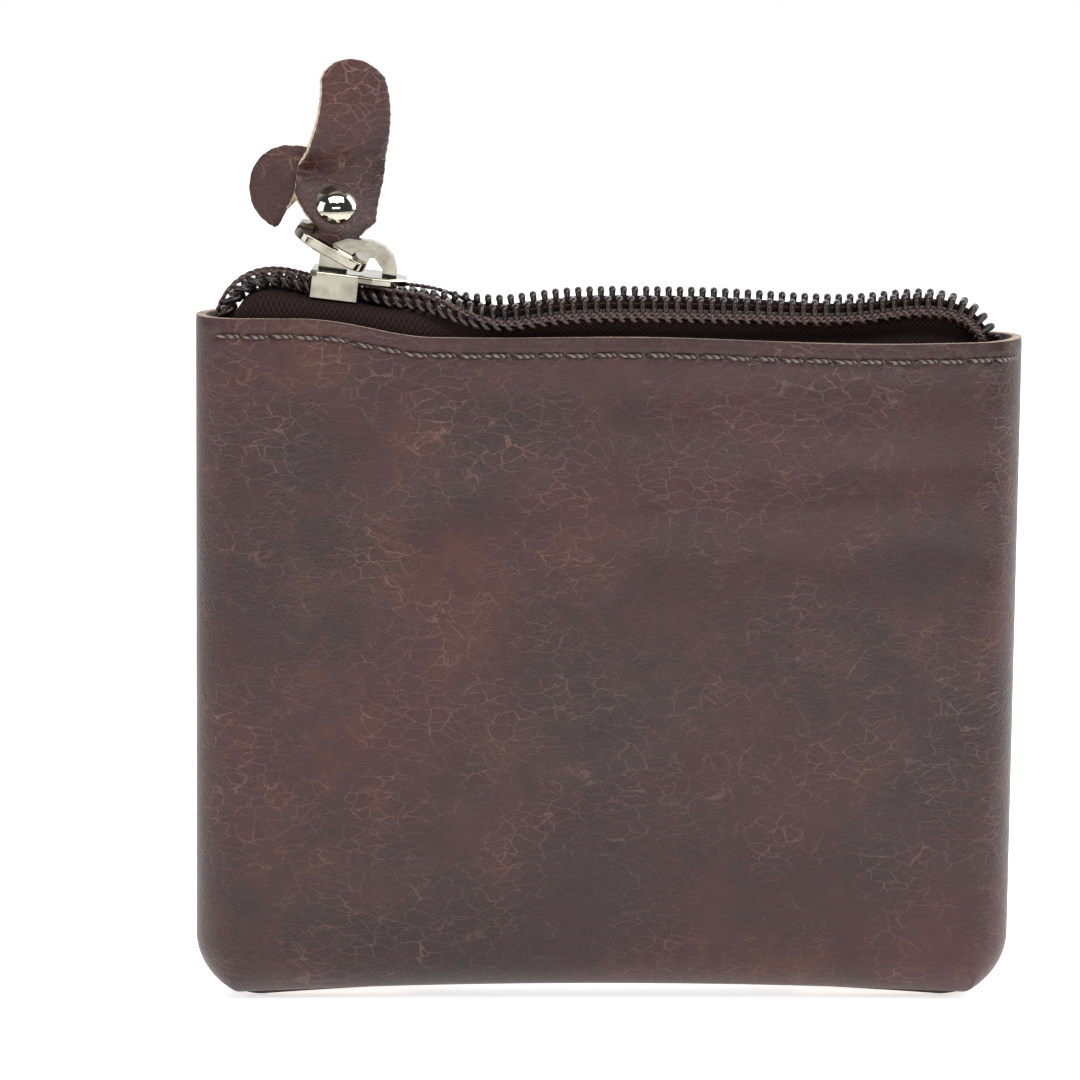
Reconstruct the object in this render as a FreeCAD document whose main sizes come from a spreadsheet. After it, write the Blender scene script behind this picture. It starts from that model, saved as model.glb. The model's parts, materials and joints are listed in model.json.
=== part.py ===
import FreeCAD, Part
import math
import os

import Sketcher

Vec = FreeCAD.Vector
FRONT = -1
BACK = 1

# Driving dimensions in millimetres (angles in degrees), kept in a spreadsheet.
SIZES = {
    # purse body
    "purse_width": 110.4, "top_narrowing": 1.6, "mouth_height": 90.2, "corner_rise": 3.1,
    "purse_depth": 14.0, "leather": 1.3, "cavity_inset": 2.4, "corner_radius": 9.0, "rim_radius": 5.0,
    "bottom_bow": 2.0, "seam_allowance": 5.0, "allowance_start": 22.0,
    # stitching
    "stitch_pitch": 3.5, "stitch_length": 2.6, "stitch_thick": 0.45, "stitch_inset": 2.3,
    "groove_width": 1.0, "groove_depth": 0.5, "seam_inset": 3.2, "seam_thread_dia": 0.7,
    # zipper
    "coil_pitch": 1.5, "filament": 0.64, "coil_width": 3.6, "coil_height": 2.2,
    "head_reach": 1.1, "tape_thick": 0.6, "tape_flat": 4.3, "tape_below_edge": 7.0,
    "closed_offset": 0.5, "open_offset": 4.0, "end_offset": 0.9, "chain_inset": 6.8,
    "chain_drop": 4.0, "end_radius": 3.6, "cord_width": 1.2, "cord_thick": 0.6,
    "thread_width": 0.9, "thread_thick": 0.25,
    # slider
    "slider_place": 22.7, "slider_lift": 4.5, "slider_length": 12.6, "slider_tilt": 7.0,
    "wing_thick": 0.9,
    "wing_half": 4.2, "run_gap": 0.25, "flange_thick": 0.9, "flange_length": 6.4,
    "diamond_half": 1.1, "crown_width": 2.6, "crown_length": 10.3, "crown_roof": 1.6,
    "crown_wall": 1.9, "seat_from_wall": 3.2,
    # pull
    "window_length": 6.2, "window_depth": 4.9, "ring_band": 2.1, "ring_thick": 1.3,
    "ring_corner": 2.8, "ring_slope": 30.0, "ring_roll": 6.0, "ring_shift": 0.6,
    "strap_width": 11.0, "strap_thick": 1.25, "strap_neck": 4.6, "strap_height": 25.0,
    "rivet_dia": 5.2, "rivet_dome": 1.1, "rivet_rim": 0.35, "rivet_sink": 0.2,
    "rivet_post_dia": 1.8, "rivet_gap": 0.3,
    "clearance": 0.1,
}


def make_sheet(doc):
    """Writes the driving dimensions, one named cell each."""
    sheet = doc.addObject("Spreadsheet::Sheet", "Sizes")
    for row, (name, value) in enumerate(SIZES.items(), start=1):
        sheet.set("A%d" % row, name)
        sheet.set("B%d" % row, str(value))
        sheet.setAlias("B%d" % row, name)
    doc.recompute()
    return sheet


def size(name):
    return float(getattr(sheet, name))


def value(expression):
    """Works out an expression on the sheet."""
    return float(sheet.evalExpression(expression))


# ---------------------------------------------------------------- helpers
def origin_plane(body, role):
    return next(f for f in body.Origin.OriginFeatures if f.Role == role)


def add_body(name):
    body = doc.addObject("PartDesign::Body", name)
    body.Label = name
    parts.append(body)
    return body


def add_feature(name, shape, placement=None):
    feature = doc.addObject("Part::Feature", name)
    feature.Label = name
    feature.Shape = shape
    if placement is not None:
        feature.Placement = placement
    parts.append(feature)
    return feature


def sketch_polygon(body, name, plane, corners, offset="0"):
    """A closed polygon whose corners are pairs of expressions on the sheet."""
    sketch = body.newObject("Sketcher::SketchObject", name)
    sketch.AttachmentSupport = [(origin_plane(body, plane), "")]
    sketch.MapMode = "FlatFace"
    sketch.setExpression("AttachmentOffset.Base.z", offset)
    count = len(corners)
    points = [Vec(value(a), value(b), 0) for a, b in corners]
    for i in range(count):
        sketch.addGeometry(Part.LineSegment(points[i], points[(i + 1) % count]), False)
    for i in range(count):
        sketch.addConstraint(Sketcher.Constraint("Coincident", i, 2, (i + 1) % count, 1))
    for i, (a, b) in enumerate(corners):
        bind(sketch, Sketcher.Constraint("DistanceX", -1, 1, i, 1, points[i].x), a)
        bind(sketch, Sketcher.Constraint("DistanceY", -1, 1, i, 1, points[i].y), b)
    return sketch


def sketch_circle(body, name, plane, centre, radius, offset):
    """A circle whose centre and radius are expressions on the sheet."""
    sketch = body.newObject("Sketcher::SketchObject", name)
    sketch.AttachmentSupport = [(origin_plane(body, plane), "")]
    sketch.MapMode = "FlatFace"
    sketch.setExpression("AttachmentOffset.Base.z", offset)
    middle = Vec(value(centre[0]), value(centre[1]), 0)
    sketch.addGeometry(Part.Circle(middle, Vec(0, 0, 1), value(radius)), False)
    bind(sketch, Sketcher.Constraint("DistanceX", -1, 1, 0, 3, middle.x), centre[0])
    bind(sketch, Sketcher.Constraint("DistanceY", -1, 1, 0, 3, middle.y), centre[1])
    bind(sketch, Sketcher.Constraint("Radius", 0, value(radius)), radius)
    return sketch


def bind(sketch, constraint, expression):
    index = sketch.addConstraint(constraint)
    sketch.setExpression("Constraints[%d]" % index, expression)


def pad(body, sketch, length, reverse=False, name="Pad"):
    feature = body.newObject("PartDesign::Pad", name)
    feature.Profile = sketch
    feature.setExpression("Length", length)
    feature.Reversed = reverse
    doc.recompute()
    return feature


def pocket(body, sketch, length, reverse=False, name="Pocket"):
    before = body.Shape.Volume
    feature = body.newObject("PartDesign::Pocket", name)
    feature.Profile = sketch
    feature.setExpression("Length", length)
    feature.Reversed = reverse
    doc.recompute()
    if body.Shape.Volume > before - 1e-3:
        raise RuntimeError("%s cuts nothing in %s" % (name, body.Label))
    return feature


def fillet(body, base, radius, pick, name):
    """Rounds the edges of the base feature that pick() accepts."""
    edges = ["Edge%d" % (i + 1) for i, e in enumerate(base.Shape.Edges) if pick(e)]
    feature = body.newObject("PartDesign::Fillet", name)
    feature.Base = (base, edges)
    feature.setExpression("Radius", radius)
    doc.recompute()
    return feature


def smooth(t):
    t = min(1.0, max(0.0, t))
    return t * t * (3.0 - 2.0 * t)


def frame_placement(centre, x_axis, z_axis):
    """A placement whose X and Z axes point the given ways."""
    z_dir = Vec(z_axis).normalize()
    y_dir = z_dir.cross(Vec(x_axis)).normalize()
    x_dir = y_dir.cross(z_dir)
    matrix = FreeCAD.Matrix(
        x_dir.x, y_dir.x, z_dir.x, centre.x,
        x_dir.y, y_dir.y, z_dir.y, centre.y,
        x_dir.z, y_dir.z, z_dir.z, centre.z,
        0, 0, 0, 1,
    )
    return FreeCAD.Placement(matrix)


def ruled_solid(sections):
    """A solid through closed sections, each a list of corner points."""
    wires = [Part.makePolygon(corners + [corners[0]]) for corners in sections]
    return Part.makeLoft(wires, True, True)


# ---------------------------------------------------------------- leather panels
HALF_BOTTOM = "Sizes.purse_width / 2"
LEFT_TOP = "Sizes.mouth_height + Sizes.corner_rise"


CORNER_DROP = "Sizes.corner_radius * 2 * Sizes.bottom_bow / Sizes.purse_width"


def panel_outline(inset, rise):
    """Corners of the panel outline, moved inward by inset and raised at the mouth by rise.

    The bottom corners start a little low, so that their rounded bulges just reach zero."""
    return [
        ("-%s + %s" % (HALF_BOTTOM, inset), "%s - %s" % (inset, CORNER_DROP)),
        ("0 * Sizes.leather", "Sizes.bottom_bow + %s" % inset),
        ("%s - %s" % (HALF_BOTTOM, inset), "%s - %s" % (inset, CORNER_DROP)),
        ("%s - %s" % (HALF_BOTTOM, inset), "Sizes.mouth_height + %s" % rise),
        ("-Sizes.purse_width * 0.22", "Sizes.mouth_height + Sizes.corner_rise * 0.3 + %s" % rise),
        ("-Sizes.purse_width * 0.33", "%s + %s" % (LEFT_TOP, rise)),
        ("-%s + Sizes.top_narrowing + %s" % (HALF_BOTTOM, inset), "%s + %s" % (LEFT_TOP, rise)),
    ]


def cavity_outline():
    """The panel outline moved inward, open past the mouth, with its low corners cut off."""
    outline = panel_outline("Sizes.cavity_inset", "5")
    left, low = outline[0]
    right = outline[2][0]
    cut = "Sizes.corner_radius * 0.6"
    corners = [
        (left, "%s + %s" % (low, cut)),
        ("%s + %s" % (left, cut), low),
        outline[1],
        ("%s - %s" % (right, cut), low),
        (right, "%s + %s" % (low, cut)),
    ]
    return corners + outline[3:]


def mouth_line():
    """The panel's top edge from left to right, as points in the XZ plane."""
    return [Vec(value(a), 0, value(b)) for a, b in reversed(panel_outline("0", "0")[3:])]


def mouth_height_at(x):
    points = mouth_line()
    for start, end in zip(points, points[1:]):
        if x <= end.x or end is points[-1]:
            share = min(1.0, max(0.0, (x - start.x) / (end.x - start.x)))
            return start.z + (end.z - start.z) * share


def make_panel(name, side):
    """One leather wall: a tray with a rounded rim and its seam allowance turned in."""
    body = add_body(name)
    back = side == BACK
    outline = sketch_polygon(body, "Outline", "XZ_Plane", panel_outline("0", "0"))
    wall = pad(body, outline, "Sizes.purse_depth / 2", back, "Wall")
    low = size("corner_radius")
    face_y = side * size("purse_depth") / 2

    def is_bottom_corner(edge):
        box = edge.BoundBox
        return box.XLength < 1e-3 and box.ZLength < 1e-3 and box.ZMax < low and abs(box.XMin) > low

    def is_rim(edge):
        box = edge.BoundBox
        on_face = abs(box.YMin - face_y) < 1e-3 and abs(box.YMax - face_y) < 1e-3
        return on_face and box.ZMin < size("mouth_height") - 1.0

    corners = fillet(body, wall, "Sizes.corner_radius", is_bottom_corner, "Corners")
    fillet(body, corners, "Sizes.rim_radius", is_rim, "Rim")

    sign = -1 if back else 1
    cavity = sketch_polygon(
        body, "Cavity", "XZ_Plane", cavity_outline(),
        "%d * Sizes.leather" % sign,
    )
    pocket(body, cavity, "Sizes.purse_depth / 2 - 2 * Sizes.leather", not back, "Hollow")
    way_in = sketch_polygon(body, "WayIn", "XZ_Plane", way_in_outline())
    pocket(body, way_in, "Sizes.leather", not back, "SeamOpening")
    groove = sketch_polygon(
        body, "Groove", "XZ_Plane", groove_outline(),
        "%d * (Sizes.purse_depth / 2 - Sizes.groove_depth)" % sign,
    )
    pocket(body, groove, "Sizes.groove_depth + 1", not back, "StitchGroove")


def way_in_outline():
    """The opening between the seam allowances, which stop short of the mouth."""
    wide = "(%s - Sizes.cavity_inset)" % HALF_BOTTOM
    narrow = "(%s - Sizes.cavity_inset - Sizes.seam_allowance)" % HALF_BOTTOM
    shoulder = "Sizes.mouth_height - Sizes.allowance_start"
    low = "Sizes.cavity_inset + Sizes.seam_allowance"
    top = "%s + 5" % LEFT_TOP
    return [
        ("-" + narrow, low),
        (narrow, low),
        (narrow, shoulder),
        (wide, shoulder + " + Sizes.seam_allowance"),
        (wide, top),
        ("-%s + Sizes.top_narrowing" % wide, top),
        ("-" + wide, shoulder + " + Sizes.seam_allowance"),
        ("-" + narrow, shoulder),
    ]


def groove_outline():
    """The shallow channel that the topstitching pulls into the leather below the mouth."""
    end = "Sizes.rim_radius + 0.5"
    drop = "Sizes.stitch_inset - Sizes.groove_width / 2"
    line = [
        ("%s - (%s)" % (HALF_BOTTOM, end), "Sizes.mouth_height"),
        ("-Sizes.purse_width * 0.22", "Sizes.mouth_height + Sizes.corner_rise * 0.3"),
        ("-Sizes.purse_width * 0.33", LEFT_TOP),
        ("-%s + Sizes.top_narrowing + %s" % (HALF_BOTTOM, end), LEFT_TOP),
    ]
    upper = [(a, "%s - (%s)" % (b, drop)) for a, b in line]
    lower = [(a, "%s - (%s) - Sizes.groove_width" % (b, drop)) for a, b in reversed(line)]
    return upper + lower


def rods_along(points, pitch, length, radius):
    """Short rods laid end to end along a line of points, with a gap between them."""
    wire = Part.makePolygon(points)
    count = int(wire.Length / pitch)
    stops = wire.discretize(Number=count * 2 + 1)
    rods = []
    for i in range(count):
        middle = stops[2 * i + 1]
        along = (stops[2 * i + 2] - stops[2 * i]).normalize()
        rods.append(Part.makeCylinder(radius, length, middle - along * (length / 2), along))
    return rods


def make_topstitch(name, side):
    end = size("rim_radius") + 1.0
    radius = size("stitch_thick") / 2
    y = side * (size("purse_depth") / 2 - size("groove_depth") + radius)
    points = mouth_line()
    points[0].x += end
    points[-1].x -= end
    line = [Vec(p.x, y, p.z - size("stitch_inset")) for p in points]
    rods = rods_along(line, size("stitch_pitch"), size("stitch_length"), radius)
    add_feature(name, Part.makeCompound(rods))


def make_seam_thread():
    """Stitches through both seam allowances, down one side, along the bottom and up."""
    inset = size("cavity_inset") + size("seam_inset")
    half = size("purse_width") / 2 - inset
    top = size("mouth_height") - size("allowance_start") - 1.0
    round_in = size("corner_radius")
    low = inset + size("bottom_bow")
    line = [
        Vec(-half, 0, top), Vec(-half, 0, low + round_in), Vec(-half + round_in, 0, low),
        Vec(half - round_in, 0, low), Vec(half, 0, low + round_in), Vec(half, 0, top),
    ]
    wire = Part.makePolygon(line)
    reach = size("leather") - size("clearance")
    stitches = []
    for point in wire.discretize(Number=int(wire.Length / size("stitch_pitch"))):
        start = Vec(point.x, -reach, point.z)
        stitches.append(Part.makeCylinder(size("seam_thread_dia") / 2, 2 * reach, start, Vec(0, 1, 0)))
    add_feature("seam_thread", Part.makeCompound(stitches))


# ---------------------------------------------------------------- zipper
def slider_centre():
    return Vec(-size("purse_width") / 2 + size("slider_place"), 0, size("mouth_height") + size("slider_lift"))


def chain_path():
    """The line of the tapes' meeting edges, from the closed end to the open end."""
    left = -size("purse_width") / 2 + size("chain_inset")
    right = size("purse_width") / 2 - size("chain_drop")
    mouth = size("mouth_height")
    bend = size("end_radius")
    middle = slider_centre()
    half = size("slider_length") / 2
    slope = math.tan(math.radians(size("slider_tilt")))
    open_run = right - middle.x
    points = [
        Vec(left, 0, mouth + 1.6),
        Vec(left + bend * 0.28, 0, mouth + 4.3),
        Vec(left + bend, 0, mouth + 6.0),
        Vec(middle.x - half, 0, middle.z + half * slope),
        middle,
        Vec(middle.x + half, 0, middle.z - half * slope),
        Vec(middle.x + open_run * 0.18, 0, mouth + 3.3),
        Vec(middle.x + open_run * 0.32, 0, mouth + 4.6),
        Vec(middle.x + open_run * 0.45, 0, mouth + 4.9),
        Vec(middle.x + open_run * 0.63, 0, mouth + 4.5),
        Vec(middle.x + open_run * 0.80, 0, mouth + 4.3),
        Vec(right - 5.4, 0, mouth + 4.5),
        Vec(right - 1.9, 0, mouth + 2.7),
        Vec(right, 0, mouth - 0.6),
    ]
    curve = Part.BSplineCurve()
    curve.interpolate(points)
    return curve.toShape()


def offset_at(x):
    """How far each tape's edge stands from the middle plane."""
    middle = slider_centre().x
    reach = size("purse_width") / 2 - size("chain_drop") - middle
    closed = size("closed_offset")
    at_shoulder = closed + size("diamond_half") + 1.5
    opening = closed + (at_shoulder - closed) * smooth((x - middle + 0.6) / 6.0)
    wide = (size("open_offset") - at_shoulder) * smooth((x - middle - 5.5) / (reach * 0.2))
    narrow = (size("open_offset") - size("end_offset")) * smooth((x - middle - reach * 0.5) / (reach * 0.4))
    return opening + wide - narrow


def lean_at(x):
    """0 where the tape lies flat in the closed chain, a quarter turn where it stands up."""
    past = x - slider_centre().x - size("slider_length") / 2
    return math.pi / 2 * smooth((past - 0.5) / (size("purse_width") * 0.13))


def station(distance, side):
    """The edge point and the directions along, across and out of the tape."""
    parameter = path.getParameterByLength(min(distance, path.Length - 1e-4))
    point = path.valueAt(parameter)
    along = path.tangentAt(parameter).normalize()
    up = Vec(-along.z, 0, along.x)
    inward = Vec(0, -side, 0)
    lean = lean_at(point.x)
    edge = point + Vec(0, side * offset_at(point.x), 0)
    across = inward * math.cos(lean) + up * math.sin(lean)
    out = up * math.cos(lean) - inward * math.sin(lean)
    return edge, along, across, out


def steps_along(pitch, phase):
    count = int((path.Length - phase) / pitch)
    return [phase + i * pitch for i in range(count)]


def make_tape(name, side):
    """The woven tape: flat under the coil, folded down and sewn inside the leather."""
    half = size("tape_thick") / 2
    inner_y = size("purse_depth") / 2 - size("leather") - half - size("clearance") / 2
    sections = []
    for distance in steps_along(1.1, 0.3):
        edge, along, across, out = station(distance, side)
        lean = lean_at(edge.x)
        furthest = inner_y + 0.4 * max(0.0, 1.0 - 3.0 * lean)
        bend_y = min(abs(edge.y) + math.cos(lean) * size("tape_flat"), furthest)
        bend = Vec(edge.x, side * bend_y, edge.z - math.sin(lean) * size("tape_flat"))
        low = min(mouth_height_at(edge.x) + 0.15, edge.z - 1.9, bend.z - 0.8)
        entry_y = min(inner_y, abs(bend.y) + 0.9)
        entry = Vec(edge.x, side * entry_y, low)
        foot = Vec(edge.x, side * inner_y, low - size("tape_below_edge"))
        outward = Vec(0, side * half, 0)
        face = Vec(0, out.y, out.z) * half
        fold = (face + outward).normalize()
        fold = fold * (half * half / max(0.5 * half, fold.dot(outward)))
        sections.append([
            edge + face, bend + fold, entry + outward, foot + outward,
            foot - outward, entry - outward, bend - fold, edge - face,
        ])
    add_feature(name, ruled_solid(sections))


def link_shape():
    """One turn of the coil: a flat-sided loop of round-ended outline."""
    half = size("coil_height") / 2
    wall = size("filament")
    length = size("coil_width")

    def stadium(radius, straight):
        top = Part.makeLine(Vec(-straight / 2, radius, 0), Vec(straight / 2, radius, 0))
        right = Part.Arc(Vec(straight / 2, radius, 0), Vec(straight / 2 + radius, 0, 0),
                         Vec(straight / 2, -radius, 0)).toShape()
        bottom = Part.makeLine(Vec(straight / 2, -radius, 0), Vec(-straight / 2, -radius, 0))
        left = Part.Arc(Vec(-straight / 2, -radius, 0), Vec(-straight / 2 - radius, 0, 0),
                        Vec(-straight / 2, radius, 0)).toShape()
        return Part.Wire([top, right, bottom, left])

    straight = length - 2 * half
    outer = Part.Face(stadium(half, straight)).extrude(Vec(0, 0, wall))
    inner = Part.Face(stadium(half - wall, straight)).extrude(Vec(0, 0, wall))
    return outer.cut(inner)


def make_coil(name, side, phase):
    """A row of loops sewn on the outer face of the tape, half a pitch from its partner."""
    link = link_shape()
    middle = size("head_reach") - size("coil_width") / 2
    rise = size("tape_thick") / 2 + size("clearance") / 2 + size("coil_height") / 2
    links = []
    for distance in steps_along(size("coil_pitch"), phase):
        edge, along, across, out = station(distance, side)
        centre = edge + across * middle + out * rise
        turn = across.cross(out)
        copy = link.copy()
        copy.Placement = frame_placement(centre - turn * (size("filament") / 2), across, turn)
        links.append(copy)
    add_feature(name, Part.makeCompound(links))


def make_strip(name, side, across_at, out_at, width, thick):
    """A flat strip that follows the tape, such as the cord in the coil or its stitching."""
    sections = []
    for distance in steps_along(size("coil_pitch") / 2, size("coil_pitch") / 2):
        edge, along, across, out = station(distance, side)
        centre = edge + across * across_at + out * out_at
        w = across * (width / 2)
        h = out * (thick / 2)
        sections.append([centre - w - h, centre + w - h, centre + w + h, centre - w + h])
    add_feature(name, ruled_solid(sections))


def make_row(side, word, phase):
    make_tape(word + "_zip_tape", side)
    make_coil(word + "_coil", side, phase)
    middle = size("head_reach") - size("coil_width") / 2
    coil_base = size("tape_thick") / 2 + size("clearance") / 2
    cord_out = coil_base + size("coil_height") / 2
    make_strip(word + "_coil_cord", side, middle - 0.25, cord_out, size("cord_width"), size("cord_thick"))
    thread_out = coil_base + size("coil_height") + size("clearance") + size("thread_thick") / 2
    make_strip(word + "_coil_thread", side, middle - 0.3, thread_out, size("thread_width"),
               size("thread_thick"))


# ---------------------------------------------------------------- slider
CHAIN_TOP = "(Sizes.tape_thick / 2 + Sizes.clearance * 1.5 + Sizes.coil_height + Sizes.thread_thick)"
UPPER_IN = "(%s + Sizes.run_gap)" % CHAIN_TOP
UPPER_OUT = "(%s + Sizes.wing_thick)" % UPPER_IN
LOWER_IN = "(-Sizes.tape_thick / 2 - Sizes.run_gap)"
LOWER_OUT = "(%s - Sizes.wing_thick)" % LOWER_IN


def slider_placement():
    tilt = FreeCAD.Rotation(Vec(0, 1, 0), size("slider_tilt"))
    return FreeCAD.Placement(slider_centre(), tilt)


def mirrored(corners):
    """Adds the same corners on the other side of the X axis."""
    return corners + [(a, "-(%s)" % b) for a, b in reversed(corners)]


def wing_outline():
    half = "Sizes.slider_length / 2"
    return mirrored([
        ("-%s" % half, "Sizes.wing_half - 0.9"),
        ("-%s + 0.9" % half, "Sizes.wing_half"),
        ("0 * Sizes.leather", "Sizes.wing_half"),
        ("%s - 4.4" % half, "Sizes.wing_half + 0.4"),
        ("%s - 2.0" % half, "Sizes.wing_half - 0.1"),
        (half, "Sizes.wing_half - 2.1"),
    ])


def make_slider():
    """Two wings joined by the diamond, with flanges that close over the chain."""
    body = add_body("slider_body")
    lower = sketch_polygon(body, "LowerWing", "XY_Plane", wing_outline(), LOWER_OUT)
    pad(body, lower, "Sizes.wing_thick", False, "Lower")
    front = "Sizes.slider_length / 2"
    diamond = sketch_polygon(body, "DiamondOutline", "XY_Plane", mirrored([
        ("%s - 4.6" % front, "0.15"),
        ("%s - 2.2" % front, "Sizes.diamond_half"),
        ("%s - 1.2" % front, "0.3"),
    ]), LOWER_OUT)
    pad(body, diamond, "%s - %s" % (UPPER_OUT, LOWER_OUT), False, "Diamond")
    upper = sketch_polygon(body, "UpperWing", "XY_Plane", wing_outline(), UPPER_IN)
    wing = pad(body, upper, "Sizes.wing_thick", False, "Upper")
    top = value(UPPER_OUT)

    def is_upper_rim(edge):
        box = edge.BoundBox
        return abs(box.ZMin - top) < 1e-3 and abs(box.ZMax - top) < 1e-3

    fillet(body, wing, "0.35", is_upper_rim, "SoftRim")
    for word, sign in (("Left", "-"), ("Right", "")):
        outer = "%sSizes.wing_half" % sign
        inner = "%s(Sizes.wing_half - Sizes.flange_thick)" % sign
        start = "-Sizes.slider_length / 2 + 0.35"
        end = "-Sizes.slider_length / 2 + Sizes.flange_length"
        flange = sketch_polygon(
            body, word + "FlangeOutline", "XY_Plane",
            [(start, outer), (end, outer), (end, inner), (start, inner)],
            "Sizes.tape_thick / 2 + Sizes.run_gap",
        )
        pad(body, flange, "%s - Sizes.tape_thick / 2 - Sizes.run_gap + 0.2" % UPPER_IN, False, word + "Flange")
    body.Placement = slider_placement()


BAND_REACH = "(sqrt(Sizes.ring_band^2 + Sizes.ring_thick^2) / 2)"
SEAT_RADIUS = "(%s + 2 * Sizes.clearance)" % BAND_REACH
SEAT_LIFT = "(%s + 0.7 * Sizes.clearance)" % BAND_REACH
CROWN_HEIGHT = "(%s + %s + Sizes.crown_roof)" % (SEAT_LIFT, SEAT_RADIUS)


def crown_start():
    return "-Sizes.slider_length / 2 + 0.9"


def seat_centre():
    return "%s + Sizes.crown_length - Sizes.crown_wall - Sizes.seat_from_wall" % crown_start()


def make_crown():
    """The arch over the upper wing, with the round seat that the pull ring swings in."""
    body = add_body("slider_crown")
    left = crown_start()
    right = "%s + Sizes.crown_length" % left
    outline = sketch_polygon(body, "ArchOutline", "XZ_Plane", [
        (left, UPPER_OUT),
        (right, UPPER_OUT),
        (right, "%s + 0.25 * %s" % (UPPER_OUT, CROWN_HEIGHT)),
        ("%s - 0.6" % right, "%s + 0.6 * %s" % (UPPER_OUT, CROWN_HEIGHT)),
        ("%s - 1.9" % right, "%s + 0.87 * %s" % (UPPER_OUT, CROWN_HEIGHT)),
        ("%s - 3.6" % right, "%s + %s" % (UPPER_OUT, CROWN_HEIGHT)),
        ("%s + 3.4" % left, "%s + %s" % (UPPER_OUT, CROWN_HEIGHT)),
        ("%s + 1.6" % left, "%s + 0.8 * %s" % (UPPER_OUT, CROWN_HEIGHT)),
        (left, "%s + 0.5 * %s" % (UPPER_OUT, CROWN_HEIGHT)),
    ], "-Sizes.crown_width / 2")
    arch = pad(body, outline, "Sizes.crown_width", False, "Arch")
    seat_x = seat_centre()
    hole = sketch_polygon(body, "TunnelOutline", "XZ_Plane", [
        ("%s - %s" % (seat_x, SEAT_RADIUS), "%s - 1" % UPPER_OUT),
        ("%s - Sizes.crown_wall" % right, "%s - 1" % UPPER_OUT),
        ("%s - Sizes.crown_wall" % right, "%s + 0.6 * %s" % (UPPER_OUT, SEAT_LIFT)),
        ("%s - Sizes.crown_wall - 1.2" % right, "%s + %s + 0.6 * %s" % (UPPER_OUT, SEAT_LIFT, SEAT_RADIUS)),
        ("%s - %s" % (seat_x, SEAT_RADIUS), "%s + %s + 0.6 * %s" % (UPPER_OUT, SEAT_LIFT, SEAT_RADIUS)),
    ], "-Sizes.crown_width / 2 - 0.5")
    pocket(body, hole, "Sizes.crown_width + 1", True, "Tunnel")
    centre = (seat_x, "%s + %s" % (UPPER_OUT, SEAT_LIFT))
    seat = sketch_circle(body, "SeatCircle", "XZ_Plane", centre, SEAT_RADIUS,
                         "-Sizes.crown_width / 2 - 0.5")
    pocket(body, seat, "Sizes.crown_width + 1", True, "RingSeat")
    body.Placement = slider_placement()


# ---------------------------------------------------------------- pull ring
RING_LENGTH = "(Sizes.window_length + 2 * Sizes.ring_band)"
RING_DEPTH = "(Sizes.window_depth + 2 * Sizes.ring_band)"


def ring_pivot():
    """The middle of the crown's round seat, which the ring's near band turns in."""
    local = Vec(value(seat_centre()), 0, value("%s + %s" % (UPPER_OUT, SEAT_LIFT)))
    return slider_placement().multVec(local)


def ring_placement():
    slope = FreeCAD.Rotation(Vec(0, 1, 0), size("ring_slope"))
    roll = FreeCAD.Rotation(Vec(1, 0, 0), size("ring_roll"))
    return FreeCAD.Placement(ring_pivot(), slope * roll)


def rectangle(x_low, x_high, y_low, y_high):
    return [(x_low, y_low), (x_high, y_low), (x_high, y_high), (x_low, y_high)]


def make_ring():
    """A flat oblong link with rounded ends and a plain recess in its front bar."""
    body = add_body("pull_ring")
    far = "Sizes.ring_band / 2 - %s" % RING_LENGTH
    near = "Sizes.ring_band / 2"
    low = "Sizes.ring_shift - %s / 2" % RING_DEPTH
    high = "Sizes.ring_shift + %s / 2" % RING_DEPTH
    plate = sketch_polygon(body, "Plate", "XY_Plane", rectangle(far, near, low, high),
                           "-Sizes.ring_thick / 2")
    block = pad(body, plate, "Sizes.ring_thick", False, "Block")

    def is_upright(edge):
        box = edge.BoundBox
        return box.XLength < 1e-3 and box.YLength < 1e-3

    fillet(body, block, "Sizes.ring_corner", is_upright, "RoundEnds")
    band = "Sizes.ring_band"
    opening = sketch_polygon(
        body, "Window", "XY_Plane",
        rectangle("%s + %s" % (far, band), "%s - %s" % (near, band),
                  "%s + %s" % (low, band), "%s - %s" % (high, band)),
        "Sizes.ring_thick",
    )
    hole = pocket(body, opening, "Sizes.ring_thick * 2", False, "WindowCut")
    window_x = value("%s - %s" % (near, band))

    def is_window_corner(edge):
        box = edge.BoundBox
        return is_upright(edge) and box.XMax < window_x + 0.1 and abs(
            box.YMin - value("Sizes.ring_shift")) < value("Sizes.window_depth / 2") + 0.1

    rounded = fillet(body, hole, "Sizes.ring_corner - Sizes.ring_band", is_window_corner, "RoundWindow")

    def is_face_edge(edge):
        return edge.BoundBox.ZLength < 1e-3

    fillet(body, rounded, "0.25", is_face_edge, "SoftEdges")
    recess = sketch_polygon(
        body, "Recess", "XY_Plane",
        rectangle("%s + 3.2" % far, "%s - 4.2" % near,
                  "%s + 0.55" % low, "%s + %s - 0.55" % (low, band)),
        "Sizes.ring_thick / 2 + 0.5",
    )
    pocket(body, recess, "0.8", False, "RecessCut")
    body.Placement = ring_placement()


# ---------------------------------------------------------------- strap and rivet
def rail_centre():
    """The middle of the ring's far rail, which the strap is folded round."""
    local = Vec(
        (size("ring_band") - value(RING_LENGTH)) / 2,
        size("ring_shift") + (value(RING_DEPTH) - size("ring_band")) / 2,
        0,
    )
    return ring_placement().multVec(local)


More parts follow.
